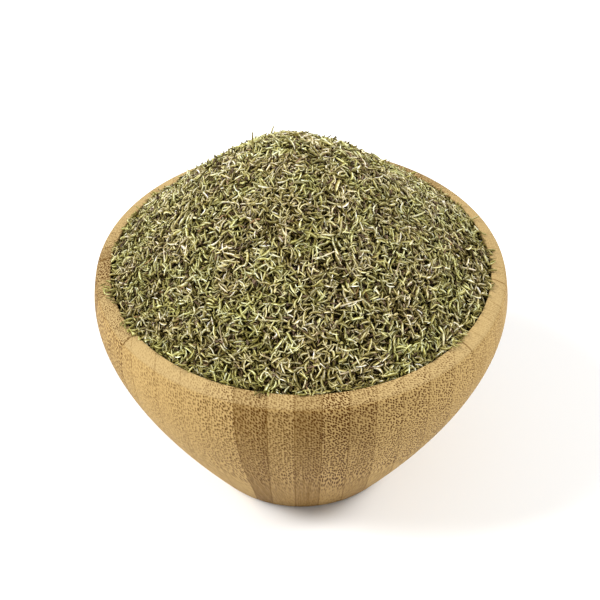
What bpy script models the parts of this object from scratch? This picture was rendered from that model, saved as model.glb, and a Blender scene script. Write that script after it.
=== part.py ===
"""A bowl turned from laminated bamboo, heaped with dried, rubbed thyme.

Metres, +Z up. The origin is the middle of the bowl's foot, on the surface that it stands on.
The bowl is one turned solid. The heap is one solid that fills it to the rim and stands over it
as a rounded cone, with dried leaves and bits of stem standing out of it all over.
"""

import math
import random

import bmesh
import bpy
from mathutils import Vector, noise
from mathutils.geometry import delaunay_2d_cdt

# The bowl, as radius and height from the middle of its foot.
RIM_RADIUS = 0.060  # to the crease where the outside meets the top of the rim
RIM_HEIGHT = 0.072  # of that crease
RIM_WIDTH = 0.0047
RIM_RISE = 0.0018  # the top of the rim climbs this much to its inner edge
RIM_OUTER_ROUND = 0.0016
RIM_INNER_ROUND = 0.0009
FOOT_RADIUS = 0.0335
FOOT_ROUND = 0.0009
WALL_START_ANGLE = math.radians(59)  # of the outside as it leaves the foot, from level
WALL_START_PULL = 0.069
WALL_END_PULL = 0.0068
FLOOR_RADIUS = 0.027
FLOOR_HEIGHT = 0.0090
INSIDE_START_ANGLE = math.radians(57)
INSIDE_START_PULL = 0.060
INSIDE_END_PULL = 0.0090
WALL_POINTS = 9
ROUND_POINTS = 2
BOWL_SIDES = 64

# The heap, inside the bowl and over it.
GAP = 0.0004  # between the heap and the bowl
HEAP_SIDES = 48
PEAK_HEIGHT = 0.0420  # of the core over its own edge, just inside the rim
PEAK_ROUNDNESS = 0.011
PEAK_SHIFT = Vector((-0.0025, -0.0025))  # the heap isn't quite central
LUMP_SIZE = 0.011
LUMP_DEPTH = 0.0012
GRAIN_DEPTH = 0.0006
CORE_SPACING = 0.0056  # between the points of the core's surface

# The dried leaves and the bits of stem, larger than life so that few of them cover the heap.
SEED = 41
SPACING = 0.0035  # between the middles of the pieces
LEAF_LENGTH = (0.0080, 0.0115)
LEAF_WIDTH = (0.0026, 0.0040)
LEAF_THICKNESS = 0.0011
LEAF_ARCH = 0.13  # of its length, from a straight line
LEAF_TILT = (math.radians(12), math.radians(32))
ROOT_DEPTH = 0.0014
LEAF_MOST = 600
STEM_COUNT = 16
STEM_LENGTH = (0.010, 0.015)
STEM_WIDTH = (0.0010, 0.0012)
STEM_TILT = (math.radians(10), math.radians(30))
RIM_CLEARANCE = 0.0006  # between a leaf or a stem and the bowl
TRIES = 8  # draws of a piece at each place
MISSES = 800  # places drawn in vain before the heap counts as covered


def clear_scene():
    for obj in list(bpy.data.objects):
        bpy.data.objects.remove(obj, do_unlink=True)


def material(name, colour, roughness):
    made = bpy.data.materials.new(name)
    made.use_nodes = True
    shader = made.node_tree.nodes["Principled BSDF"]
    shader.inputs["Base Color"].default_value = (*colour, 1)
    shader.inputs["Roughness"].default_value = roughness
    shader.inputs["Metallic"].default_value = 0
    return made


def link_mesh(name, mesh, finish):
    obj = bpy.data.objects.new(name, mesh)
    mesh.materials.append(finish)
    bpy.context.scene.collection.objects.link(obj)
    return obj


def wall_curve(start, start_angle, start_pull, end, end_pull):
    """Points along a wall from its foot up to its rim, which it reaches upright."""
    leave = start + start_pull * Vector((math.cos(start_angle), math.sin(start_angle)))
    arrive = end - Vector((0, end_pull))
    points = []
    for i in range(WALL_POINTS + 1):
        t = i / WALL_POINTS
        s = 1 - t
        points.append(s**3 * start + 3 * s * s * t * leave + 3 * s * t * t * arrive + t**3 * end)
    return points


def rounded(before, corner, after, radius):
    """Points of a round-over that takes the place of a corner."""
    start = corner + radius * (before - corner).normalized()
    end = corner + radius * (after - corner).normalized()
    points = []
    for i in range(ROUND_POINTS + 1):
        t = i / ROUND_POINTS
        points.append((1 - t) ** 2 * start + 2 * t * (1 - t) * corner + t * t * end)
    return points


def outer_wall():
    foot = Vector((FOOT_RADIUS, 0))
    crease = Vector((RIM_RADIUS, RIM_HEIGHT))
    return wall_curve(foot, WALL_START_ANGLE, WALL_START_PULL, crease, WALL_END_PULL)


def inner_wall():
    floor_edge = Vector((FLOOR_RADIUS, FLOOR_HEIGHT))
    lip = Vector((RIM_RADIUS - RIM_WIDTH, RIM_HEIGHT + RIM_RISE))
    return wall_curve(floor_edge, INSIDE_START_ANGLE, INSIDE_START_PULL, lip, INSIDE_END_PULL)


def bowl_profile():
    """Half of the bowl's section, from the middle of its floor over the rim to the middle of its foot."""
    inside = inner_wall()
    outside = outer_wall()
    foot_middle = Vector((0, 0))
    points = [Vector((0, FLOOR_HEIGHT))]
    points += inside[:-1]
    points += rounded(inside[-2], inside[-1], outside[-1], RIM_INNER_ROUND)
    points += rounded(inside[-1], outside[-1], outside[-2], RIM_OUTER_ROUND)
    points += reversed(outside[1:-1])
    points += rounded(outside[1], outside[0], foot_middle, FOOT_ROUND)
    points.append(foot_middle)
    return points


def make_bowl(finish):
    """The profile turned round Z, as the real bowl is on a lathe."""
    profile = bowl_profile()
    mesh = bpy.data.meshes.new("bamboo_bowl")
    mesh.from_pydata([(p.x, 0, p.y) for p in profile], [(i, i + 1) for i in range(len(profile) - 1)], [])
    bowl = link_mesh("bamboo_bowl", mesh, finish)
    turn = bowl.modifiers.new("turn", "SCREW")
    turn.axis = "Z"
    turn.angle = math.tau
    turn.steps = turn.render_steps = BOWL_SIDES
    turn.use_merge_vertices = True
    turn.merge_threshold = 0.00001
    turn.use_smooth_shade = True
    return bowl


def offset_inside():
    """The part of the inside wall that the heap touches, moved in by the gap."""
    wall = [Vector((0, FLOOR_HEIGHT))] + inner_wall()
    points = [Vector((0, FLOOR_HEIGHT + GAP))]
    for before, here, after in zip(wall, wall[1:], wall[2:]):
        along = (after - before).normalized()
        points.append(here + GAP * Vector((-along.y, along.x)))
    points[1].y = FLOOR_HEIGHT + GAP
    return points


def heap_edge():
    return offset_inside()[-1]


def heap_point(radius, angle):
    """A point of the heap's mean surface: a cone with a round top, whose peak is a little off centre."""
    edge = heap_edge()
    centred = 1 - (radius / edge.x) ** 2
    x = radius * math.cos(angle) + PEAK_SHIFT.x * centred
    y = radius * math.sin(angle) + PEAK_SHIFT.y * centred
    fall = math.hypot(radius, PEAK_ROUNDNESS) - PEAK_ROUNDNESS
    whole_fall = math.hypot(edge.x, PEAK_ROUNDNESS) - PEAK_ROUNDNESS
    point = Vector((x, y, edge.y + PEAK_HEIGHT * (1 - fall / whole_fall)))
    point.z += centred * LUMP_DEPTH * noise.noise(point / LUMP_SIZE)
    return point


def heap_normal(radius, angle):
    step = 0.001
    out = heap_point(radius + step, angle) - heap_point(radius, angle)
    turn = step / max(radius, step)
    along = heap_point(radius, angle + turn) - heap_point(radius, angle)
    return out.cross(along).normalized()


def make_core(draw):
    """A turned underside that fills the bowl, closed by a rough top of irregular facets."""
    shape = bmesh.new()
    rings = []
    for point in offset_inside()[1:]:
        ring = []
        for i in range(HEAP_SIDES):
            angle = math.tau * i / HEAP_SIDES
            ring.append(shape.verts.new((point.x * math.cos(angle), point.x * math.sin(angle), point.y)))
        rings.append(ring)
    shape.faces.new(reversed(rings[0]))
    for lower, upper in zip(rings, rings[1:]):
        for i in range(HEAP_SIDES):
            j = (i + 1) % HEAP_SIDES
            shape.faces.new((lower[i], lower[j], upper[j], upper[i]))

    top = list(rings[-1])
    edge = heap_edge()
    golden = math.pi * (3 - math.sqrt(5))
    inner_radius = edge.x - 0.6 * CORE_SPACING
    count = round(math.pi * inner_radius**2 / (0.87 * CORE_SPACING**2))
    for i in range(count):
        point = heap_point(inner_radius * math.sqrt((i + 0.5) / count), golden * i)
        point.z += draw.uniform(-GRAIN_DEPTH, GRAIN_DEPTH)
        top.append(shape.verts.new(point))
    flat = [Vector(v.co[:2]) for v in top]
    boundary = [(i, (i + 1) % HEAP_SIDES) for i in range(HEAP_SIDES)]
    triangles = delaunay_2d_cdt(flat, boundary, [], 1, 1e-7)[2]
    for face in triangles:
        shape.faces.new([top[i] for i in face])
    bmesh.ops.recalc_face_normals(shape, faces=shape.faces)
    mesh = bpy.data.meshes.new("dried_thyme")
    shape.to_mesh(mesh)
    shape.free()
    return mesh


def rooted_frame(radius, angle, heading, tilt, length):
    """For a piece centred over a point of the heap: its root, the way it points, its side and its back."""
    normal = heap_normal(radius, angle)
    level = normal.orthogonal().normalized()
    across = normal.cross(level)
    level, across = (
        math.cos(heading) * level + math.sin(heading) * across,
        math.cos(heading) * across - math.sin(heading) * level,
    )
    root = heap_point(radius, angle) - 0.4 * length * level - ROOT_DEPTH * normal
    along = math.cos(tilt) * level + math.sin(tilt) * normal
    back = math.cos(tilt) * normal - math.sin(tilt) * level
    return root, along, across, back


def leaf(root, along, across, back, length, width):
    """A narrow pointed leaf with a keel, rooted below the surface and arched over it."""
    tip = root + length * along
    middle = root + 0.45 * length * along + LEAF_ARCH * length * back
    half = 0.5 * width * across
    corners = [root, middle + half, middle - half, middle + LEAF_THICKNESS * back, tip]
    faces = [(0, 1, 2), (0, 2, 3), (0, 3, 1), (4, 2, 1), (4, 3, 2), (4, 1, 3)]
    return corners, faces


def stem(root, along, across, back, length, width):
    """A bit of bare stem: a thin square stick, broken off square at its free end."""
    half = 0.5 * width
    corners = []
    for end in (root, root + length * along):
        corners += [end + half * (a * across + b * back) for a, b in ((1, 1), (-1, 1), (-1, -1), (1, -1))]
    faces = [(0, 1, 2, 3), (7, 6, 5, 4)]
    faces += [(i, i + 4, (i + 1) % 4 + 4, (i + 1) % 4) for i in range(4)]
    return corners, faces


def clear_of_bowl(corners):
    """True where every line between two corners stays over the rim or inside the wall."""
    edge = heap_edge()
    lip = RIM_HEIGHT + RIM_RISE
    for a in corners:
        for b in corners:
            for i in range(7):
                p = a.lerp(b, i / 6)
                over_rim = p.z > lip + RIM_CLEARANCE
                inside = math.hypot(p.x, p.y) < edge.x - RIM_CLEARANCE
                if not (over_rim or inside):
                    return False
    return True


def room(corners, taken):
    """How far the ends of a piece keep from the pieces already there."""
    ends = (corners[0], corners[-1])
    return min(((end - other).length for end in ends for other in taken), default=1)


def scatter(draw, shaper, lengths, widths, tilts, most, places, taken):
    """Draws places all over the heap, evenly spaced, and at each the piece that has the most room."""
    reach = heap_edge().x - 0.0008
    pieces = []
    misses = 0
    while len(pieces) < most and misses < MISSES:
        radius = reach * math.sqrt(draw.random())
        angle = draw.uniform(0, math.tau)
        here = heap_point(radius, angle)
        if any((here - other).length < SPACING for other in places):
            misses += 1
            continue
        best = None
        for _ in range(TRIES):
            length = draw.uniform(*lengths)
            place = rooted_frame(radius, angle, draw.uniform(0, math.tau), draw.uniform(*tilts), length)
            piece = shaper(*place, length, draw.uniform(*widths))
            if clear_of_bowl(piece[0]) and (best is None or room(piece[0], taken) > room(best[0], taken)):
                best = piece
        if best:
            pieces.append(best)
            places.append(here)
            taken += [best[0][0], here, best[0][-1]]
        else:
            misses += 1
    return pieces


def keep_outside(mesh):
    """Drops every shell but the largest, which fills the small hollows that crossing leaves close off."""
    shape = bmesh.new()
    shape.from_mesh(mesh)
    shells = []
    unseen = set(shape.verts)
    while unseen:
        reached = [unseen.pop()]
        for vert in reached:
            for edge in vert.link_edges:
                other = edge.other_vert(vert)
                if other in unseen:
                    unseen.discard(other)
                    reached.append(other)
        shells.append(reached)
    shells.sort(key=len)
    for shell in shells[:-1]:
        bmesh.ops.delete(shape, geom=shell, context="VERTS")
    shape.to_mesh(mesh)
    shape.free()


def fuse(core, pieces):
    """One union of the core with all that stands out of it."""
    group = bpy.data.collections.new("standing_out")
    for corners, faces in pieces:
        mesh = bpy.data.meshes.new("piece")
        mesh.from_pydata(corners, [], faces)
        group.objects.link(bpy.data.objects.new("piece", mesh))
    union = core.modifiers.new("fuse", "BOOLEAN")
    union.operation = "UNION"
    union.operand_type = "COLLECTION"
    union.collection = group
    union.solver = "EXACT"
    bpy.context.view_layer.update()
    fused = bpy.data.meshes.new_from_object(core.evaluated_get(bpy.context.evaluated_depsgraph_get()))
    core.modifiers.clear()
    keep_outside(fused)
    core.data = fused
    for obj in list(group.objects):
        bpy.data.objects.remove(obj, do_unlink=True)
    bpy.data.collections.remove(group)


def make_heap(finish):
    draw = random.Random(SEED)
    heap = link_mesh("dried_thyme", make_core(draw), finish)
    places = []
    taken = []
    pieces = scatter(draw, stem, STEM_LENGTH, STEM_WIDTH, STEM_TILT, STEM_COUNT, places, taken)
    pieces += scatter(draw, leaf, LEAF_LENGTH, LEAF_WIDTH, LEAF_TILT, LEAF_MOST, places, taken)
    fuse(heap, pieces)
    return heap


clear_scene()
make_bowl(material("bamboo", (0.52, 0.37, 0.18), 0.5))
make_heap(material("dried_thyme", (0.19, 0.16, 0.07), 0.85))
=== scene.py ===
"""A bamboo bowl heaped with dried thyme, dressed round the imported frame. Metres, +Z up."""

import math

import bpy
import numpy as np
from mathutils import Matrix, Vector, noise


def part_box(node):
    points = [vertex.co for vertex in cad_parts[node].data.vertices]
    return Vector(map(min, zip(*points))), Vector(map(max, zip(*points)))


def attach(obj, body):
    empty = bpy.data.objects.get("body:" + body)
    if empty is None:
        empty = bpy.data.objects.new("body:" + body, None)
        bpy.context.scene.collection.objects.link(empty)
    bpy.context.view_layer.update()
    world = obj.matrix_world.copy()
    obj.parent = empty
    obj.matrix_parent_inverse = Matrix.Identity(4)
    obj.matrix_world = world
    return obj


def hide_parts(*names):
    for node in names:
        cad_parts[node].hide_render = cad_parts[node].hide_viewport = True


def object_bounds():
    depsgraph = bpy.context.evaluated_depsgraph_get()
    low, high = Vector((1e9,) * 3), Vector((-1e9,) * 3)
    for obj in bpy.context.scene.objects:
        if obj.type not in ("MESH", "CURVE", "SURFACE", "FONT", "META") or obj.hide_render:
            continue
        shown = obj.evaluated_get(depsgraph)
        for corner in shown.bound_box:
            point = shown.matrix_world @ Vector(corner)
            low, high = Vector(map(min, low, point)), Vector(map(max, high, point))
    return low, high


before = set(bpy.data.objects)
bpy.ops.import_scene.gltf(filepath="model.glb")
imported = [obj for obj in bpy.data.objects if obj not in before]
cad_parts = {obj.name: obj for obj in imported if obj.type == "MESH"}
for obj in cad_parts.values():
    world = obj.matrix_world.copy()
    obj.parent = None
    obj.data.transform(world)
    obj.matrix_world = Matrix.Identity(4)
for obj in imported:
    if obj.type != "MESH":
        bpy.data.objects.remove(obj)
cad_low, cad_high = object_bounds()

# ---------------------------------------------------------------------------------------
# The room: a pale floor under a soft white sky, with a broad lamp at either side, the left
# one stronger. The camera stands in front of the bowl and looks down on it.
# ---------------------------------------------------------------------------------------
MM = 0.001
CAMERA_PITCH = math.radians(41.32)
CAMERA_DISTANCE = 371.3 * MM
CAMERA_LENS = 67.3
AIM = Vector((-0.3, 23.9, 36.0)) * MM
SKY_STRENGTH = 0.50
LAMPS = (
    ("lamp_left", Vector((-1400, -250, 1550)) * MM, 700 * MM, 48.0),
    ("lamp_right", Vector((1450, 150, 1500)) * MM, 700 * MM, 33.0),
)
FLOOR_SIZE = 12

scene = bpy.context.scene
camera = bpy.data.objects.new("camera", bpy.data.cameras.new("camera"))
scene.collection.objects.link(camera)
camera.data.lens = CAMERA_LENS
camera.data.sensor_width = 36
camera.data.clip_start = 10 * MM
towards_camera = Vector((0, -math.cos(CAMERA_PITCH), math.sin(CAMERA_PITCH)))
camera.location = AIM + CAMERA_DISTANCE * towards_camera
camera.rotation_euler = (math.pi / 2 - CAMERA_PITCH, 0, 0)
scene.camera = camera

sky = bpy.data.worlds.new("sky")
sky.use_nodes = True
backdrop = sky.node_tree.nodes["Background"]
backdrop.inputs["Color"].default_value = (1, 1, 1, 1)
backdrop.inputs["Strength"].default_value = SKY_STRENGTH
scene.world = sky
scene.view_settings.view_transform = "Standard"

for name, stand, size, power in LAMPS:
    lamp = bpy.data.objects.new(name, bpy.data.lights.new(name, "AREA"))
    scene.collection.objects.link(lamp)
    lamp.data.energy = power
    lamp.data.size = size
    lamp.location = stand
    lamp.rotation_euler = (-stand).to_track_quat("-Z", "Y").to_euler()


class Finish:
    """A material and the nodes that give it its look."""

    def __init__(self, name):
        self.material = bpy.data.materials.new(name)
        self.material.use_nodes = True
        self.tree = self.material.node_tree
        self.shader = self.tree.nodes["Principled BSDF"]

    def node(self, kind, **settings):
        made = self.tree.nodes.new("ShaderNode" + kind)
        for key, value in settings.items():
            setattr(made, key, value)
        return made

    def feed(self, socket, value):
        if isinstance(value, bpy.types.NodeSocket):
            self.tree.links.new(value, socket)
        else:
            socket.default_value = value

    def math(self, operation, *values):
        made = self.node("Math", operation=operation)
        for socket, value in zip(made.inputs, values):
            self.feed(socket, value)
        return made.outputs[0]

    def blend(self, share, low, high, how="MIX"):
        made = self.node("Mix", data_type="RGBA", blend_type=how)
        for index, value in ((0, share), (6, low), (7, high)):
            self.feed(made.inputs[index], value)
        return made.outputs[2]

    def between(self, value, low, high, to_low=0.0, to_high=1.0):
        """value, eased from low to high and spread from to_low to to_high."""
        made = self.node("MapRange", interpolation_type="SMOOTHSTEP")
        for socket, number in zip(made.inputs, (value, low, high, to_low, to_high)):
            self.feed(socket, number)
        return made.outputs[0]

    def ramp(self, value, stops, interpolation="LINEAR"):
        made = self.node("ValToRGB")
        band = made.color_ramp
        band.interpolation = interpolation
        while len(band.elements) < len(stops):
            band.elements.new(1.0)
        for element, (at, colour) in zip(band.elements, stops):
            element.position = at
            element.color = (*colour, 1)
        self.feed(made.inputs[0], value)
        return made.outputs[0]

    def noise(self, vector, scale, detail=2.0):
        made = self.node("TexNoise")
        self.feed(made.inputs["Vector"], vector)
        made.inputs["Scale"].default_value = scale
        made.inputs["Detail"].default_value = detail
        return made.outputs["Fac"]

    def vector(self, x, y, z):
        made = self.node("CombineXYZ")
        for socket, value in zip(made.inputs, (x, y, z)):
            self.feed(socket, value)
        return made.outputs[0]

    def split(self, vector):
        made = self.node("SeparateXYZ")
        self.feed(made.inputs[0], vector)
        return made.outputs[0], made.outputs[1], made.outputs[2]

    def bump(self, height, distance, strength=1.0):
        made = self.node("Bump")
        made.inputs["Strength"].default_value = strength
        made.inputs["Distance"].default_value = distance
        self.feed(made.inputs["Height"], height)
        self.feed(self.shader.inputs["Normal"], made.outputs[0])


def named(name):
    """The primitive that was just added, with its name."""
    made = bpy.context.object
    made.name = made.data.name = name
    return made


bpy.ops.object.select_all(action="DESELECT")
bpy.ops.mesh.primitive_plane_add(size=FLOOR_SIZE)
floor = named("floor")
paper = Finish("pale_floor")
paper.shader.inputs["Base Color"].default_value = (0.93, 0.93, 0.925, 1)
paper.shader.inputs["Roughness"].default_value = 0.9
floor.data.materials.append(paper.material)

# ---------------------------------------------------------------------------------------
# The bowl: strips of bamboo glued up into a block, turned to a deep, tapered shell with a
# small flat foot and a broad rim that rises a little inwards, sanded and oiled.
# ---------------------------------------------------------------------------------------
RIM_RADIUS = 60.0 * MM
RIM_HEIGHT = 72.0 * MM
RIM_WIDTH = 4.7 * MM
RIM_RISE = 1.8 * MM
RIM_OUTER_ROUND = 1.6 * MM
RIM_INNER_ROUND = 0.9 * MM
FOOT_RADIUS = 33.5 * MM
FOOT_ROUND = 0.9 * MM
OUTSIDE_START = math.radians(59)
OUTSIDE_START_PULL = 69.0 * MM
OUTSIDE_END_PULL = 6.8 * MM
FLOOR_RADIUS = 27.0 * MM
FLOOR_HEIGHT = 9.0 * MM
INSIDE_START = math.radians(57)
INSIDE_START_PULL = 60.0 * MM
INSIDE_END_PULL = 9.0 * MM
WALL_POINTS = 40
ROUND_POINTS = 6
BOWL_SIDES = 192
MERGE_WITHIN = 0.004 * MM
SMOOTH_UNDER = math.radians(50)

_, bowl_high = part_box("bamboo_bowl")


def wall(start, angle, pull, end, end_pull):
    """Points up a wall that leaves its foot at an angle and reaches the rim upright."""
    leave = start + pull * Vector((math.cos(angle), math.sin(angle)))
    arrive = end - Vector((0, end_pull))
    points = []
    for i in range(WALL_POINTS + 1):
        t = i / WALL_POINTS
        s = 1 - t
        points.append(s**3 * start + 3 * s * s * t * leave + 3 * s * t * t * arrive + t**3 * end)
    return points


def rounded(before, corner, after, radius):
    """Points of a round-over in place of a corner."""
    first = corner + radius * (before - corner).normalized()
    last = corner + radius * (after - corner).normalized()
    points = []
    for i in range(ROUND_POINTS + 1):
        t = i / ROUND_POINTS
        points.append((1 - t) ** 2 * first + 2 * t * (1 - t) * corner + t * t * last)
    return points


def cut_back(points, corner, radius):
    """The points of a wall that lie further than a round-over from its corner."""
    return [p for p in points if (p - corner).length > radius]


def turned(name, profile, sides):
    """A line drawn by extruding a point along the profile, spun round Z and closed."""
    bpy.ops.object.select_all(action="DESELECT")
    bpy.ops.mesh.primitive_plane_add(size=MM)
    made = named(name)
    bpy.ops.object.mode_set(mode="EDIT")
    bpy.ops.mesh.merge(type="CENTER")
    bpy.ops.transform.translate(value=(profile[0].x, 0, profile[0].y))
    for here, there in zip(profile, profile[1:]):
        step = (there.x - here.x, 0, there.y - here.y)
        bpy.ops.mesh.extrude_region_move(TRANSFORM_OT_translate={"value": step})
    bpy.ops.mesh.select_all(action="SELECT")
    bpy.ops.mesh.spin(steps=sides, angle=math.tau, center=(0, 0, 0), axis=(0, 0, 1))
    bpy.ops.mesh.select_all(action="SELECT")
    bpy.ops.mesh.remove_doubles(threshold=MERGE_WITHIN)
    bpy.ops.mesh.normals_make_consistent(inside=False)
    bpy.ops.object.mode_set(mode="OBJECT")
    return made


crease = Vector((RIM_RADIUS, RIM_HEIGHT))
lip = Vector((RIM_RADIUS - RIM_WIDTH, RIM_HEIGHT + RIM_RISE))
foot_edge = Vector((FOOT_RADIUS, 0))
floor_edge = Vector((FLOOR_RADIUS, FLOOR_HEIGHT))
outside = wall(foot_edge, OUTSIDE_START, OUTSIDE_START_PULL, crease, OUTSIDE_END_PULL)
inside = wall(floor_edge, INSIDE_START, INSIDE_START_PULL, lip, INSIDE_END_PULL)
bowl_profile = [Vector((0, FLOOR_HEIGHT))]
bowl_profile += cut_back(inside, lip, RIM_INNER_ROUND)
bowl_profile += rounded(inside[-2], lip, crease, RIM_INNER_ROUND)
bowl_profile += rounded(lip, crease, outside[-2], RIM_OUTER_ROUND)
outside_wall = cut_back(cut_back(outside, crease, RIM_OUTER_ROUND), foot_edge, FOOT_ROUND)
bowl_profile += reversed(outside_wall)
bowl_profile += rounded(outside[1], foot_edge, Vector((0, 0)), FOOT_ROUND)
bowl_profile.append(Vector((0, 0)))
fit = bowl_high.x / max(p.x for p in bowl_profile)
bowl_profile = [Vector((p.x * fit, min(p.y, bowl_high.z))) for p in bowl_profile]

bowl = turned("bowl", bowl_profile, BOWL_SIDES)
bpy.ops.object.shade_smooth_by_angle(angle=SMOOTH_UNDER)

# The block is made of wedges, each of strips that lie side by side. A wedge has the angle
# where it starts, the way it faces, in degrees, its own shade, and how far its strips shift.
WEDGES = (
    (-180, 180, 0.40, 0.30),
    (-127, -108, 0.55, 0.80),
    (-90, -72, 0.35, 0.15),
    (-54, 0, 0.16, 0.00),
    (50.5, 65, 0.30, 0.55),
    (80, 104, 0.42, 0.70),
    (128, 180, 0.40, 0.30),
)
# Each strip's darkness and the strength of its dots, from left to right.
STRIPS = (
    (0.30, 0.38), (0.20, 0.36), (0.35, 0.34), (0.15, 0.38), (0.25, 0.42),
    (0.10, 0.48), (0.12, 0.55), (0.06, 0.72), (0.12, 1.00), (1.10, 1.00),
    (0.76, 0.85), (1.10, 0.90), (0.66, 1.75), (0.74, 1.00), (0.30, 0.95),
    (0.20, 1.00), (0.26, 0.90), (0.14, 0.70), (0.40, 0.50), (0.20, 0.50),
)
# Across the block from its middle: where the first strip starts, where the darkest begins
# and is full, and how much its edge moves at the foot and at the rim.
STRIP_WIDTH = 7.08 * MM
STRIP_START = -79.6 * MM
DARKEST_FROM = -9 * MM
DARKEST_TO = -15.5 * MM
DARKEST_TAPER = (-2.6 * MM, 1.5 * MM)
# How far apart the dots lie, how far from its middle each ends and is full, as a share of
# that, how far they wander, how each column steps up, and how the pattern jumps at a strip.
DOT_ACROSS = 0.70 * MM
DOT_DOWN = 0.94 * MM
DOT_EDGE = (0.44, 0.22)
DOT_WANDER = 0.6
STAGGER = 0.5
STRIP_JUMP = 7.31
# How strong the dots are by chance, from one edge of a strip to the other, on the rim, and
# at the foot.
DOT_CHANCE = (0.60, 1.35)
CROWDING = (0.75, 1.15)
RIM_DOTS = 0.70
FOOT_DOTS = 0.20
# The wall's mean radius where dots show, the height under which they draw out to flecks, and
# how softly, the heights between which they fade in, and how fast the pattern runs low on the
# wall and over the rim.
WALL_RADIUS = 58 * MM
DOTS_END = 44 * MM
DOTS_FADE = 14 * MM
DOTS_THIN = (18 * MM, 44 * MM)
FLECK_SLOPE = 0.22
RIM_SLOPE = 1.3
# The heights between which the wall's look turns to the rim's, and painted shade darkens the
# wood downwards.
RIM_TOP = (RIM_HEIGHT - 0.5 * MM, RIM_HEIGHT + 0.3 * MM)
LOW_ON_WALL = (45 * MM, 5 * MM)
# Where a seam begins and is full, as a share of a strip from its middle, and a joint between
# two wedges, as an angle.
SEAM_EDGE = (0.458, 0.492)
JOINT_EDGE = (0.0060, 0.0018)

bamboo = Finish("bamboo")
place = bamboo.node("TexCoord").outputs["Object"]
x, y, z = bamboo.split(place)
azimuth = bamboo.math("ARCTAN2", x, bamboo.math("MULTIPLY", y, -1.0))
turn = bamboo.math("MULTIPLY_ADD", azimuth, 1 / math.tau, 0.5)
wedge = bamboo.ramp(
    turn,
    [(a / 360 + 0.5, (facing / 360 + 0.5, shade, shift)) for a, facing, shade, shift in WEDGES],
    "CONSTANT",
)
facing, wedge_shade, wedge_shift = bamboo.split(wedge)
facing = bamboo.math("MULTIPLY", bamboo.math("SUBTRACT", facing, 0.5), math.tau)
cosine = bamboo.math("COSINE", facing)
sine = bamboo.math("SINE", facing)
across = bamboo.math("MULTIPLY_ADD", x, cosine, bamboo.math("MULTIPLY", y, sine))

# The darkest strip was cut a little wider than the rest, and tapers towards the foot.
wider = bamboo.between(z, 0.0, RIM_HEIGHT, *DARKEST_TAPER)
wider = bamboo.math("MULTIPLY", wider, bamboo.between(across, DARKEST_FROM, DARKEST_TO))
across = bamboo.math("ADD", across, wider)
radius = bamboo.math("SQRT", bamboo.math("MULTIPLY_ADD", x, x, bamboo.math("MULTIPLY", y, y)))

# Which strip, and how far across it.
strip_at = bamboo.math("DIVIDE", bamboo.math("SUBTRACT", across, STRIP_START), STRIP_WIDTH)
strip_number = bamboo.math("FLOOR", strip_at)
strip_across = bamboo.math("SUBTRACT", strip_at, strip_number)
strip_key = bamboo.math("DIVIDE", bamboo.math("ADD", strip_number, 0.5), len(STRIPS))
strip_key = bamboo.math("FRACT", bamboo.math("ADD", strip_key, wedge_shift))
strip = bamboo.ramp(
    strip_key,
    [(i / len(STRIPS), (dark, dots, 0)) for i, (dark, dots) in enumerate(STRIPS)],
    "CONSTANT",
)
strip_dark, strip_dots, _ = bamboo.split(strip)

# Fibres come out of the wall as dots, of the rim as finer dots, and lower down lie nearly
# along the wall, so the measure along them slows down there and draws the dots out.
round_wall = bamboo.math("MULTIPLY", azimuth, WALL_RADIUS)
up_wall = bamboo.node("Math", operation="SMOOTH_MAX")
for socket, value in zip(up_wall.inputs, (z, DOTS_END, DOTS_FADE)):
    bamboo.feed(socket, value)
up_wall = bamboo.math("MULTIPLY_ADD", z, FLECK_SLOPE, up_wall.outputs[0])
on_rim = bamboo.between(z, *RIM_TOP)
over_rim = bamboo.math("MULTIPLY", bamboo.math("SUBTRACT", RIM_RADIUS, radius), on_rim)
up_wall = bamboo.math("MULTIPLY_ADD", over_rim, RIM_SLOPE, up_wall)
jump = bamboo.math("MULTIPLY", strip_number, STRIP_JUMP)


def along_fibre(spacing, length):
    """Flat coordinates on the wood for a pattern so wide, and so long where dots show."""
    a = bamboo.math("ADD", bamboo.math("DIVIDE", round_wall, spacing), jump)
    b = bamboo.math("ADD", bamboo.math("DIVIDE", up_wall, length), jump)
    b = bamboo.math("MULTIPLY_ADD", a, STAGGER, b)
    return bamboo.vector(a, b, 0.0)


cells = bamboo.node("TexVoronoi", voronoi_dimensions="2D")
cells.inputs["Scale"].default_value = 1.0
cells.inputs["Randomness"].default_value = 0.70
wobble = bamboo.noise(along_fibre(1.2 * MM, 1.6 * MM), 1.0, 2.0)
dot_place = bamboo.node("VectorMath", operation="ADD")
bamboo.feed(dot_place.inputs[0], along_fibre(DOT_ACROSS, DOT_DOWN))
wander = bamboo.math("MULTIPLY", wobble, DOT_WANDER)
bamboo.feed(dot_place.inputs[1], bamboo.vector(wander, 0.0, 0.0))
bamboo.feed(cells.inputs["Vector"], dot_place.outputs[0])
chance = bamboo.split(cells.outputs["Color"])[0]
dots = bamboo.between(cells.outputs["Distance"], *DOT_EDGE)
dots = bamboo.math("MULTIPLY", dots, bamboo.between(chance, 0.0, 1.0, *DOT_CHANCE))
crowding = bamboo.between(strip_across, 0.0, 1.0, *CROWDING)
rim_dots = bamboo.math("MULTIPLY_ADD", strip_dots, RIM_DOTS, -1.0)
rim_fade = bamboo.math("MULTIPLY_ADD", on_rim, rim_dots, 1.0)
foot_fade = bamboo.between(z, *DOTS_THIN, FOOT_DOTS, 1.0)
for share in (strip_dots, crowding, rim_fade, foot_fade):
    dots = bamboo.math("MULTIPLY", dots, share)

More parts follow.
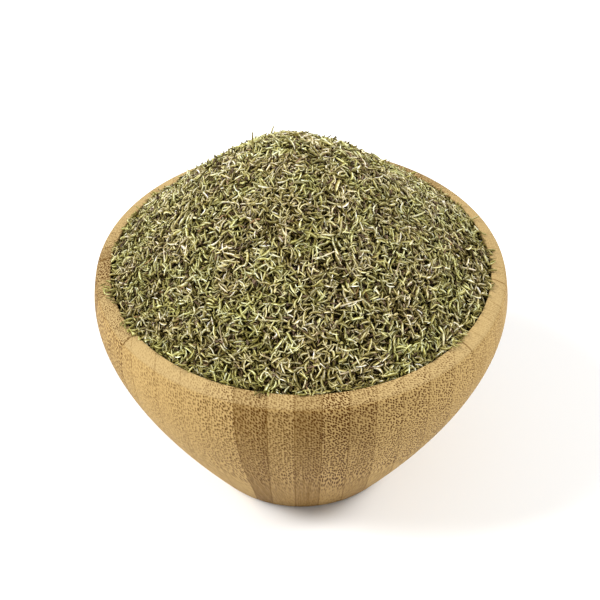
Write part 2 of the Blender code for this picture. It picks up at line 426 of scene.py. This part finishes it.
streaks = bamboo.noise(along_fibre(0.40 * MM, 9 * MM), 1.0, 3.0)
grain = bamboo.noise(along_fibre(0.50 * MM, 0.80 * MM), 1.0, 3.0)
patches = bamboo.noise(along_fibre(6 * MM, 30 * MM), 1.0, 2.0)
seam = bamboo.math("ABSOLUTE", bamboo.math("SUBTRACT", strip_across, 0.5))
seam = bamboo.between(seam, *SEAM_EDGE)
joint = 0.0
for edge, *_ in WEDGES:
    off = bamboo.math("ABSOLUTE", bamboo.math("SUBTRACT", azimuth, math.radians(edge)))
    joint = bamboo.math("MAXIMUM", joint, bamboo.between(off, *JOINT_EDGE))

# The wood's colour runs from pale to dark by its shade: that of the strip and the wedge, of
# patches, streaks and grain, less on the rim and between dots, more at each seam and at each
# joint, which shows more on the rim. Painted shade darkens it towards the foot.
PALE = (0.470, 0.314, 0.119, 1)
DARK = (0.156, 0.079, 0.015, 1)
DOT = (0.078, 0.026, 0.001, 1)
RIM_TINT = (0.93, 0.98, 1.12, 1)
NOISE_SPREAD = (0.3, 0.7)
STRIP_SHADE = 0.62
WEDGE_SHADE = 0.30
PATCH_SHADE = (-0.06, 0.07)
STREAK_SHADE = (-0.08, 0.10)
GRAIN_SHADE = (-0.12, 0.12)
RIM_PALER = -0.35
FOOT_PAINTED_SHADE = 0.09
BETWEEN_DOTS = (0.34, 0.56)
BETWEEN_PALER = -0.24
SEAM_SHADE = 0.32
JOINT_SHADE = 0.3
JOINT_ON_RIM = 0.4
STREAK_RELIEF = 0.35
DOT_RELIEF = 0.05 * MM
shade = bamboo.math("MULTIPLY", wedge_shade, WEDGE_SHADE)
shade = bamboo.math("MULTIPLY_ADD", strip_dark, STRIP_SHADE, shade)
shade = bamboo.math("ADD", shade, bamboo.between(patches, *NOISE_SPREAD, *PATCH_SHADE))
shade = bamboo.math("ADD", shade, bamboo.between(streaks, *NOISE_SPREAD, *STREAK_SHADE))
shade = bamboo.math("ADD", shade, bamboo.between(grain, *NOISE_SPREAD, *GRAIN_SHADE))
shade = bamboo.math("MULTIPLY", shade, bamboo.math("MULTIPLY_ADD", on_rim, RIM_PALER, 1.0))
# Painted shade: the wood darkens towards the foot.
shade = bamboo.math("ADD", shade, bamboo.between(z, *LOW_ON_WALL, 0.0, FOOT_PAINTED_SHADE))
paler = bamboo.between(cells.outputs["Distance"], *BETWEEN_DOTS, 0.0, BETWEEN_PALER)
shade = bamboo.math("MULTIPLY_ADD", paler, foot_fade, shade)
shade = bamboo.math("MULTIPLY_ADD", seam, SEAM_SHADE, shade)
joint_shade = bamboo.math("MULTIPLY_ADD", on_rim, JOINT_ON_RIM, JOINT_SHADE)
shade = bamboo.math("ADD", shade, bamboo.math("MULTIPLY", joint, joint_shade))
colour = bamboo.blend(shade, PALE, DARK)
colour = bamboo.blend(on_rim, colour, bamboo.blend(1.0, colour, RIM_TINT, "MULTIPLY"))
colour = bamboo.blend(dots, colour, DOT)
bamboo.feed(bamboo.shader.inputs["Base Color"], colour)
bamboo.feed(bamboo.shader.inputs["Roughness"], bamboo.between(streaks, 0.2, 0.8, 0.58, 0.70))
bamboo.shader.inputs["Specular IOR Level"].default_value = 0.07
relief = bamboo.math("SUBTRACT", bamboo.math("MULTIPLY", streaks, STREAK_RELIEF), dots)
bamboo.bump(relief, DOT_RELIEF, 0.6)

bowl.data.materials.append(bamboo.material)
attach(bowl, "root")
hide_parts("bamboo_bowl")

# ---------------------------------------------------------------------------------------
# The body of the heap: leaf dust and broken leaf that has sifted down between the leaves.
# It fills the bowl and stands over it as a rounded cone, a little under the leaves. Its
# colour is the dust's, darkened to near black as painted shade in the gaps between them.
# ---------------------------------------------------------------------------------------
GAP = 0.4 * MM
EDGE_RADIUS = 54.9 * MM
EDGE_HEIGHT = 72.0 * MM
PEAK_HEIGHT = 41.4 * MM
PEAK_ROUNDNESS = 17 * MM
PEAK_SHIFT = (-2.5 * MM, -2.5 * MM)
CORE_DEPTH = 2.4 * MM
LUMP_SIZE = 9 * MM
LUMP_DEPTH = 0.8 * MM
PIT_SIZE = 3.2 * MM
PIT_DEPTH = 0.6 * MM
CORE_SIDES = 120
CORE_RINGS = 60
CORE_GRIT_MM = 0.4


def on_heap(radius, angle):
    """Points of the heap's mean surface: a cone with a round top, its peak a little off centre."""
    centred = 1 - (radius / EDGE_RADIUS) ** 2
    fall = np.hypot(radius, PEAK_ROUNDNESS) - PEAK_ROUNDNESS
    whole_fall = math.hypot(EDGE_RADIUS, PEAK_ROUNDNESS) - PEAK_ROUNDNESS
    across = radius * np.cos(angle) + PEAK_SHIFT[0] * centred
    away = radius * np.sin(angle) + PEAK_SHIFT[1] * centred
    up = EDGE_HEIGHT + PEAK_HEIGHT * (1 - fall / whole_fall)
    return np.stack([across, away, up], -1)


def unit(vectors):
    return vectors / np.linalg.norm(vectors, axis=-1, keepdims=True)


def heap_normals(radius, angle):
    step = 0.5 * MM
    here = on_heap(radius, angle)
    out = on_heap(radius + step, angle) - here
    along = on_heap(radius, angle + step / np.maximum(radius, step)) - here
    return unit(np.cross(out, along))


def lumps(points):
    """How far the heap swells or sinks at each point."""
    broad = np.array([noise.noise(Vector(p) / LUMP_SIZE) for p in points])
    small = np.array([noise.noise(Vector(p) / PIT_SIZE) for p in points])
    return LUMP_DEPTH * broad + PIT_DEPTH * small


# The top is turned as a plain cone first, and then each of its points is set on the heap.
core_radius = EDGE_RADIUS - GAP
core_height = EDGE_HEIGHT - CORE_DEPTH
core_profile = [Vector((0, FLOOR_HEIGHT + GAP))]
for point in inside:
    if FLOOR_HEIGHT + 2 * GAP < point.y < core_height:
        core_profile.append(point - Vector((GAP, 0)))
for i in range(CORE_RINGS + 1):
    core_profile.append(Vector((core_radius * (1 - i / CORE_RINGS), core_height + i * MM)))
core = turned("thyme_core_dust_and_shade", core_profile, CORE_SIDES)
rough = np.random.default_rng(3)
for vertex in core.data.vertices:
    if vertex.co.z >= core_height - 0.01 * MM:
        radius_here = math.hypot(vertex.co.x, vertex.co.y)
        angle_here = math.atan2(vertex.co.y, vertex.co.x)
        point = on_heap(np.array(radius_here), np.array(angle_here))
        point[2] += LUMP_DEPTH * noise.noise(Vector(point) / LUMP_SIZE) - CORE_DEPTH
        point[2] += rough.uniform(-CORE_GRIT_MM, CORE_GRIT_MM) * MM
        vertex.co = point
bpy.ops.object.shade_smooth()

core_dust_and_shade = Finish("thyme_core_dust_and_shade")
place = core_dust_and_shade.node("TexCoord").outputs["Object"]
grit = core_dust_and_shade.noise(place, 900, 4)
# Painted shade: the dust is darkened to near black, as in the gaps between the leaves.
colour = core_dust_and_shade.ramp(grit, [(0.35, (0.012, 0.008, 0.001)), (0.65, (0.058, 0.042, 0.007))])
core_dust_and_shade.feed(core_dust_and_shade.shader.inputs["Base Color"], colour)
core_dust_and_shade.shader.inputs["Roughness"].default_value = 0.95
core_dust_and_shade.bump(grit, CORE_GRIT_MM * MM)
core.data.materials.append(core_dust_and_shade.material)
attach(core, "root")
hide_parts("dried_thyme")

# ---------------------------------------------------------------------------------------
# The leaves: 1.5 to 5 mm long, their edges rolled under as they dried, so that each is a
# narrow curled sliver. A few shapes are modelled, and copies of them strewn in layers.
# ---------------------------------------------------------------------------------------
LEAF_SHAPES = 12
LEAF_SIDES = 3
LEAF_RINGS = ((0, 0.5), (0.2, 0.95), (0.5, 1.0), (0.8, 0.8), (1, 0))
LEAF_WIDTHS = (0.7, 1.25)
LEAF_THICKNESSES = (0.7, 1.2)
RIDGE_HEIGHT = 0.4
STRAIGHT = 0.01
# How high a leaf may reach, and how far it keeps from the wall and over the lip.
SAFE_TOP = cad_high.z - 0.05 * MM
WALL_CLEARANCE = 0.3 * MM
LIP_CLEARANCE = 0.05 * MM
# Leaves turn round the heap by the golden angle, from its middle out. A share of them stick
# up, so many times as steep as the rest, and each is rolled a little about its length.
STREWN_RADIUS = EDGE_RADIUS - 0.5 * MM
STREWN_JITTER = 0.05
GOLDEN_ANGLE = 2.399963
STICKING_UP = 0.12
STEEPER = 2.5
ROLL = 0.6
# Leaves this high over the heap's surface, in mm, are painted in full light, and those so much
# lower in full painted shade. By the wall they get a little more painted shade.
SURFACE = 0.7
SINK = 1.9
EDGE_PAINTED_SHADE = 0.12

leaf_draw = np.random.default_rng(11)


def sliver(sides, rings, width, thickness, curl, sweep, twist):
    """One sliver a unit long along X, extruded ring by ring from its stalk to its tip.

    Its margin is 0 along the ridge on its back and 1 at its edges.
    """
    bpy.ops.object.select_all(action="DESELECT")
    bpy.ops.mesh.primitive_circle_add(
        vertices=sides,
        radius=0.5,
        fill_type="NGON",
        location=(-0.5, 0, 0),
        rotation=(math.pi / 2, 0, math.pi / 2),
    )
    made = named("sliver")
    bpy.ops.object.transform_apply(location=True, rotation=True, scale=True)
    bpy.ops.object.mode_set(mode="EDIT")
    at, size = rings[0]
    stalk = (-0.5, 0, 0)
    bpy.ops.transform.resize(value=(1, width * size, thickness * size), center_override=stalk)
    for along, swell in rings[1:]:
        bpy.ops.mesh.extrude_region_move(TRANSFORM_OT_translate={"value": (along - at, 0, 0)})
        if not swell:
            bpy.ops.mesh.merge(type="CENTER")
            break
        middle = (along - 0.5, 0, 0)
        bpy.ops.transform.resize(value=(1, swell / size, swell / size), center_override=middle)
        at, size = along, swell
    bpy.ops.mesh.select_all(action="SELECT")
    bpy.ops.mesh.quads_convert_to_tris()
    bpy.ops.mesh.normals_make_consistent(inside=False)
    bpy.ops.object.mode_set(mode="OBJECT")
    corners = np.array([v.co for v in made.data.vertices])
    made.data.calc_loop_triangles()
    triangles = np.array([t.vertices for t in made.data.loop_triangles])
    bpy.data.objects.remove(made)
    margin = np.interp(corners[:, 2] / corners[:, 2].max(), (0.0, RIDGE_HEIGHT), (1.0, 0.0))
    return bent(corners, curl, sweep, twist), triangles, margin


def bent(corners, curl, sweep, twist):
    """The leaf bent up by curl and aside by sweep, and turned about its length by twist."""
    along, aside, up = corners.T
    turned_by = twist * along
    aside, up = (
        aside * np.cos(turned_by) - up * np.sin(turned_by),
        aside * np.sin(turned_by) + up * np.cos(turned_by),
    )
    for angle in (curl, sweep):
        angle = angle if abs(angle) > STRAIGHT else STRAIGHT
        reach = 1 / angle - up
        along, up = reach * np.sin(angle * along), 1 / angle - reach * np.cos(angle * along)
        aside, up = up, aside
    return np.stack([along, aside, up], -1)


leaf_corners = []
for i in range(LEAF_SHAPES):
    corners, leaf_triangles, leaf_margin = sliver(
        LEAF_SIDES,
        LEAF_RINGS,
        width=leaf_draw.uniform(0.17, 0.25),
        thickness=leaf_draw.uniform(0.14, 0.21),
        curl=leaf_draw.uniform(-0.8, 0.8),
        sweep=leaf_draw.uniform(0.5, 1.9) * leaf_draw.choice((-1, 1)),
        twist=leaf_draw.uniform(-0.9, 0.9),
    )
    leaf_corners.append(corners)
leaf_corners = np.array(leaf_corners)


def strewn(draw, count, levels, tilt):
    """Pieces on the heap: their middles, axes as rows, and painted shade by depth and the wall."""
    number = np.arange(count)
    radius = STREWN_RADIUS * np.sqrt((number + draw.random(count)) / count)
    angle = number * GOLDEN_ANGLE + draw.normal(0, STREWN_JITTER, count)
    normal = heap_normals(radius, angle)
    middle = on_heap(radius, angle)
    level = draw.uniform(*levels, count)
    middle += normal * (level * MM + lumps(middle))[:, None]
    flat = unit(np.cross(normal, unit(draw.normal(size=(count, 3)))))
    steeper = np.where(draw.random(count) < STICKING_UP, STEEPER, 1.0)
    slope = np.radians(draw.normal(0, tilt, count) * steeper)[:, None]
    along = np.cos(slope) * flat + np.sin(slope) * normal
    roll = draw.normal(0, ROLL, count)[:, None]
    side = unit(np.cross(normal, along))
    back = np.cross(along, side)
    rolled_side = np.cos(roll) * side + np.sin(roll) * back
    rolled_back = np.cos(roll) * back - np.sin(roll) * side
    axes = np.stack([along, rolled_side, rolled_back], 1)
    # Painted shade: darker the deeper a piece lies, and a little more near the wall.
    wall_painted_shade = EDGE_PAINTED_SHADE * (radius / EDGE_RADIUS) ** 6
    return middle, axes, np.clip((SURFACE - level) / SINK + wall_painted_shade, 0, 1)


def clear_of_bowl(corners):
    """Corners kept inside the wall up to the lip, and under the top of the frame."""
    out = np.hypot(corners[..., 0], corners[..., 1])
    under = corners[..., 2] < lip.y - RIM_INNER_ROUND
    on_lip = corners[..., 2] < lip.y + LIP_CLEARANCE
    limit = np.where(under, lip.x - WALL_CLEARANCE, np.where(on_lip, lip.x, np.inf))
    corners[..., :2] *= np.minimum(1, limit / np.maximum(out, MM))[..., None]
    over = corners[..., 2].max(1) - SAFE_TOP
    corners[..., 2] -= np.maximum(over, 0)[:, None]
    return corners


def pieces_of(name, corners, triangles, margin, tone, painted_depth_shade):
    """One mesh of many copies, with each copy's tone and painted shade, and how near its margin.
    """
    count, each = corners.shape[:2]
    faces = (triangles[None] + each * np.arange(count)[:, None, None]).reshape(-1, 3)
    mesh = bpy.data.meshes.new(name)
    mesh.from_pydata(corners.reshape(-1, 3), [], faces)
    looks = mesh.attributes.new("looks", "FLOAT_COLOR", "POINT")
    values = np.ones((count, each, 4), np.float32)
    values[..., 0] = tone[:, None]
    values[..., 1] = painted_depth_shade[:, None]
    values[..., 2] = margin[None]
    looks.data.foreach_set("color", values.ravel())
    made = bpy.data.objects.new(name, mesh)
    scene.collection.objects.link(made)
    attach(made, "root")
    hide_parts("dried_thyme")
    return made


def placed(shapes, length, middle, axes):
    """Each shape brought to its length, turned to its axes, moved to its place, and kept clear."""
    corners = np.einsum("nij,njk->nik", shapes * length[:, None, None], axes)
    return clear_of_bowl(middle[:, None] + corners)


def laid(name, draw, middle, axes, painted_shade, lengths):
    """One mesh of leaves at these places, each of a random shape, length and width."""
    count = len(middle)
    length = draw.triangular(*lengths, count) * MM
    shape = leaf_corners[draw.integers(0, LEAF_SHAPES, count)]
    width = draw.uniform(*LEAF_WIDTHS, count)
    thickness = draw.uniform(*LEAF_THICKNESSES, count)
    shape = shape * np.stack([np.ones(count), width, thickness], -1)[:, None]
    corners = placed(shape, length, middle, axes)
    return pieces_of(name, corners, leaf_triangles, leaf_margin, draw.random(count), painted_shade)


def leaf_finish(name, stops, roughness=0.72):
    """Dried leaf in each copy's own tone, mottled, with a painted highlight along its ridge
    and painted shade, darker and browner, at its edges and deep in the heap.
    """
    made = Finish(name)
    looks = made.node("Attribute", attribute_name="looks").outputs["Color"]
    tone, painted_depth_shade, margin = made.split(looks)
    place = made.node("TexCoord").outputs["Object"]
    mottle = made.noise(place, MOTTLE_SCALE, 2)
    colour = made.ramp(tone, stops)
    patch = made.between(made.noise(place, PATCH_SCALE, 2), *PATCH_EDGE)
    colour = made.blend(1.0, colour, made.blend(patch, REDDER, GREENER), "MULTIPLY")
    mottle_and_painted_light = made.between(mottle, *NOISE_SPREAD, *MOTTLE)
    # Painted shade deep in the heap, a painted highlight along each ridge and painted shade at the
    # edges.
    mottle_and_painted_light = made.math("MULTIPLY", mottle_and_painted_light, made.between(painted_depth_shade, 0.0, 1.0, 1.0, DEEPEST_PAINTED_SHADE))
    mottle_and_painted_light = made.math("MULTIPLY", mottle_and_painted_light, made.between(margin, 0.0, 1.0, RIDGE_PAINTED_HIGHLIGHT, MARGIN_PAINTED_SHADE))
    green = made.math("POWER", mottle_and_painted_light, PAINTED_SHADE_GREEN_LOSS)
    blue = made.math("POWER", mottle_and_painted_light, PAINTED_SHADE_BLUE_LOSS)
    colour = made.blend(1.0, colour, made.vector(mottle_and_painted_light, green, blue), "MULTIPLY")
    made.feed(made.shader.inputs["Base Color"], colour)
    made.shader.inputs["Roughness"].default_value = roughness
    made.shader.inputs["Specular IOR Level"].default_value = 0.15
    made.bump(mottle, 0.06 * MM, 0.7)
    return made.material


# Each kind of leaf in its tones, from the darkest to the palest.
OLIVE = (
    (0.0, (0.190, 0.158, 0.052)),
    (0.35, (0.395, 0.340, 0.125)),
    (0.7, (0.590, 0.528, 0.220)),
    (1.0, (0.750, 0.690, 0.365)),
)
GREY = (
    (0.0, (0.250, 0.210, 0.100)),
    (0.5, (0.520, 0.460, 0.240)),
    (1.0, (0.730, 0.680, 0.430)),
)
STRAW = (
    (0.0, (0.610, 0.515, 0.250)),
    (0.5, (0.765, 0.690, 0.420)),
    (1.0, (0.840, 0.790, 0.600)),
)
BROWN = (
    (0.0, (0.065, 0.040, 0.022)),
    (0.5, (0.150, 0.094, 0.054)),
    (0.92, (0.290, 0.190, 0.105)),
    (1.0, (0.400, 0.235, 0.105)),
)
# Broad patches of the heap lean to one of two tints, and each leaf is mottled.
REDDER = (1.03, 1.02, 1.17, 1)
GREENER = (0.96, 1.05, 0.97, 1)
PATCH_SCALE = 130
PATCH_EDGE = (0.35, 0.65)
MOTTLE_SCALE = 1400
MOTTLE = (0.72, 1.18)
# Painted light on a leaf: it is this bright at the bottom of the layer, in painted shade, along
# its ridge, a painted highlight, and at its edges, in painted shade. Painted shade takes more
# green than red out of it, and blue most of all.
DEEPEST_PAINTED_SHADE = 0.13
RIDGE_PAINTED_HIGHLIGHT = 1.30
MARGIN_PAINTED_SHADE = 0.31
PAINTED_SHADE_GREEN_LOSS = 1.13
PAINTED_SHADE_BLUE_LOSS = 1.90

olive = leaf_finish("thyme_leaf_olive", OLIVE)
grey = leaf_finish("thyme_leaf_grey_green", GREY)
straw = leaf_finish("thyme_leaf_straw", STRAW, 0.6)
brown = leaf_finish("thyme_leaf_brown", BROWN)

# Each layer's seed and number of leaves, the levels between which they lie, in mm from the
# heap's surface, how steeply, in degrees, and the shortest, usual and longest, in mm.
LEAF_LAYERS = (
    ("thyme_leaves_under", 21, 4900, (-2.2, -1.0), 16, (2.0, 3.1, 4.6), olive),
    ("thyme_leaves_olive", 22, 8900, (-1.2, 0.9), 16, (1.9, 2.8, 4.8), olive),
    ("thyme_leaves_grey_green", 23, 6900, (-1.2, 0.8), 16, (1.8, 2.7, 4.5), grey),
    ("thyme_leaves_straw", 24, 4300, (-1.0, 0.8), 18, (1.6, 2.5, 4.3), straw),
    ("thyme_leaves_brown", 25, 5000, (-1.6, 0.6), 20, (1.5, 2.3, 3.8), brown),
)
for name, seed, count, levels, tilt, lengths, finish in LEAF_LAYERS:
    draw = np.random.default_rng(seed)
    layer = laid(name, draw, *strewn(draw, count, levels, tilt), lengths)
    layer.data.materials.append(finish)

# A ring of leaves settled against the wall, so far out and so far up from the lip, lower in
# one place in front. They are painted in full light at one height and in full painted shade so
# much lower, so the low place in front is painted darker.
EDGE_COUNT = 1700
EDGE_OUT = (52.2 * MM, 55.5 * MM)
EDGE_UP = (-2.3 * MM, 0.8 * MM)
EDGE_LENGTHS = (1.6, 2.5, 4.0)
EDGE_LIT = 1.3 * MM
EDGE_DARKENS = 2.8 * MM
DIP_AT = math.radians(-2)
DIP_WIDTH = math.radians(7)
DIP_DEPTH = 1.8 * MM
# Small groups of strays on the rim, each in degrees from the front and mm from the axis, and
# how widely a group is spread in both.
STRAYS = (
    (-75, 57.2),
    (-73, 56.4),
    (-57, 56.6),
    (-55, 55.9),
    (-11, 56.2),
    (2, 55.6),
    (49, 56.0),
    (91, 55.9),
)
STRAY_SPREAD = (1.3, 0.4)
STRAYS_EACH = 5
STRAY_UP = (0.0, 0.6 * MM)

draw = np.random.default_rng(26)
around = draw.uniform(-math.pi, math.pi, EDGE_COUNT)
out = draw.uniform(*EDGE_OUT, EDGE_COUNT)
dip = DIP_DEPTH * np.exp(-(((around - DIP_AT) / DIP_WIDTH) ** 2))
up = lip.y + draw.uniform(*EDGE_UP, EDGE_COUNT) - dip
stray_around, stray_out = np.repeat(np.array(STRAYS), STRAYS_EACH, axis=0).T
stray_around = np.radians(stray_around + draw.normal(0, STRAY_SPREAD[0], len(stray_around)))
stray_out = (stray_out + draw.normal(0, STRAY_SPREAD[1], len(stray_out))) * MM
around = np.append(around, stray_around)
out = np.append(out, stray_out)
up = np.append(up, lip.y + draw.uniform(*STRAY_UP, len(stray_out)))
level = unit(draw.normal(size=(len(up), 3)) * (1, 1, 0.2))
side = unit(np.cross((0, 0, 1), level))
middle = np.stack([out * np.sin(around), -out * np.cos(around), up], -1)
axes = np.stack([level, side, np.cross(level, side)], 1)
painted_shade = np.clip((lip.y + EDGE_LIT - up) / EDGE_DARKENS, 0, 1)
edge_leaves = laid("thyme_leaves_edge", draw, middle, axes, painted_shade, EDGE_LENGTHS)
edge_leaves.data.materials.append(olive)

# ---------------------------------------------------------------------------------------
# The crumbs: chips of leaf, calyx and stem, most of them about 1 mm long, lying loose between
# the leaves. A few rough chips are modelled, and copies of them strewn in one layer.
# ---------------------------------------------------------------------------------------
CRUMB_SHAPES = 4
CRUMB_SHAPE = (0.9, 0.42, 0.30)
CRUMB_ROUGHNESS = (0.6, 1.25)
CRUMB_COUNT = 8200
CRUMB_LEVELS = (-1.6, 0.9)
CRUMB_TILT = 30
CRUMB_LENGTHS = (0.7, 1.1, 2.3)
CRUMB = (
    (0.0, (0.080, 0.055, 0.045)),
    (0.3, (0.240, 0.165, 0.110)),
    (0.6, (0.420, 0.340, 0.150)),
    (0.85, (0.640, 0.560, 0.280)),
    (1.0, (0.820, 0.760, 0.480)),
)

chips = np.random.default_rng(31)
crumb_corners = []
for i in range(CRUMB_SHAPES):
    bpy.ops.object.select_all(action="DESELECT")
    bpy.ops.mesh.primitive_ico_sphere_add(subdivisions=1, radius=0.5)
    chip = named("crumb_shape")
    corners = np.array([v.co for v in chip.data.vertices]) * CRUMB_SHAPE
    crumb_corners.append(corners * chips.uniform(*CRUMB_ROUGHNESS, corners.shape))
    crumb_triangles = np.array([p.vertices for p in chip.data.polygons])
    bpy.data.objects.remove(chip)
crumb_corners = np.array(crumb_corners)
# Each crumb gets painted shade by its depth, as the leaves do.
middle, axes, painted_shade = strewn(chips, CRUMB_COUNT, CRUMB_LEVELS, CRUMB_TILT)
length = chips.triangular(*CRUMB_LENGTHS, CRUMB_COUNT) * MM
shape = crumb_corners[chips.integers(0, CRUMB_SHAPES, CRUMB_COUNT)]
corners = placed(shape, length, middle, axes)
margin = np.full(corners.shape[1], 0.5)
tone = chips.random(CRUMB_COUNT)
crumbs = pieces_of("thyme_crumbs", corners, crumb_triangles, margin, tone, painted_shade)
crumbs.data.materials.append(leaf_finish("thyme_crumb", CRUMB))

# ---------------------------------------------------------------------------------------
# The stems: thin, pale twigs up to 9 mm long that came through the sieve with the leaves.
# One of them stands up near the top of the heap.
# ---------------------------------------------------------------------------------------
STEM_SHAPES = 5
STEM_SIDES = 5
STEM_RINGS = ((0, 0.7), (0.22, 0.9), (0.48, 0.8), (0.75, 1.0), (1, 0.65))
STEM_COUNT = 90
STEM_LEVELS = (-0.4, 0.9)
STEM_TILT = 12
STEM_LENGTHS = (4.5, 6.0, 9.0)
STEM = (
    (0.0, (0.300, 0.220, 0.110)),
    (0.4, (0.520, 0.430, 0.220)),
    (1.0, (0.760, 0.680, 0.410)),
)
UPRIGHT_RADIUS = 11 * MM
UPRIGHT_ANGLE = math.radians(165)
UPRIGHT_MIDDLE = 2.4 * MM
UPRIGHT_LENGTH = 7 * MM
UPRIGHT_AXES = ((-0.10, 0.25, 0.96), (1, 0, 0.10), (0, 0.97, -0.25))

twigs = np.random.default_rng(41)
stem_corners = []
for i in range(STEM_SHAPES):
    corners, stem_triangles, stem_margin = sliver(
        STEM_SIDES,
        STEM_RINGS,
        width=twigs.uniform(0.065, 0.09),
        thickness=twigs.uniform(0.06, 0.08),
        curl=twigs.uniform(-0.5, 0.5),
        sweep=twigs.uniform(-0.5, 0.5),
        twist=0,
    )
    stem_corners.append(corners)
stem_corners = np.array(stem_corners)
middle, axes, painted_shade = strewn(twigs, STEM_COUNT, STEM_LEVELS, STEM_TILT)
middle[0] = on_heap(np.array(UPRIGHT_RADIUS), np.array(UPRIGHT_ANGLE)) + (0, 0, UPRIGHT_MIDDLE)
axes[0] = UPRIGHT_AXES
# The upright stem is painted in full light.
painted_shade[0] = 0
length = twigs.triangular(*STEM_LENGTHS, STEM_COUNT) * MM
length[0] = UPRIGHT_LENGTH
shape = stem_corners[twigs.integers(0, STEM_SHAPES, STEM_COUNT)]
corners = placed(shape, length, middle, axes)
tone = twigs.random(STEM_COUNT)
stems = pieces_of("thyme_stems", corners, stem_triangles, stem_margin, tone, painted_shade)
stems.data.materials.append(leaf_finish("thyme_stem", STEM))
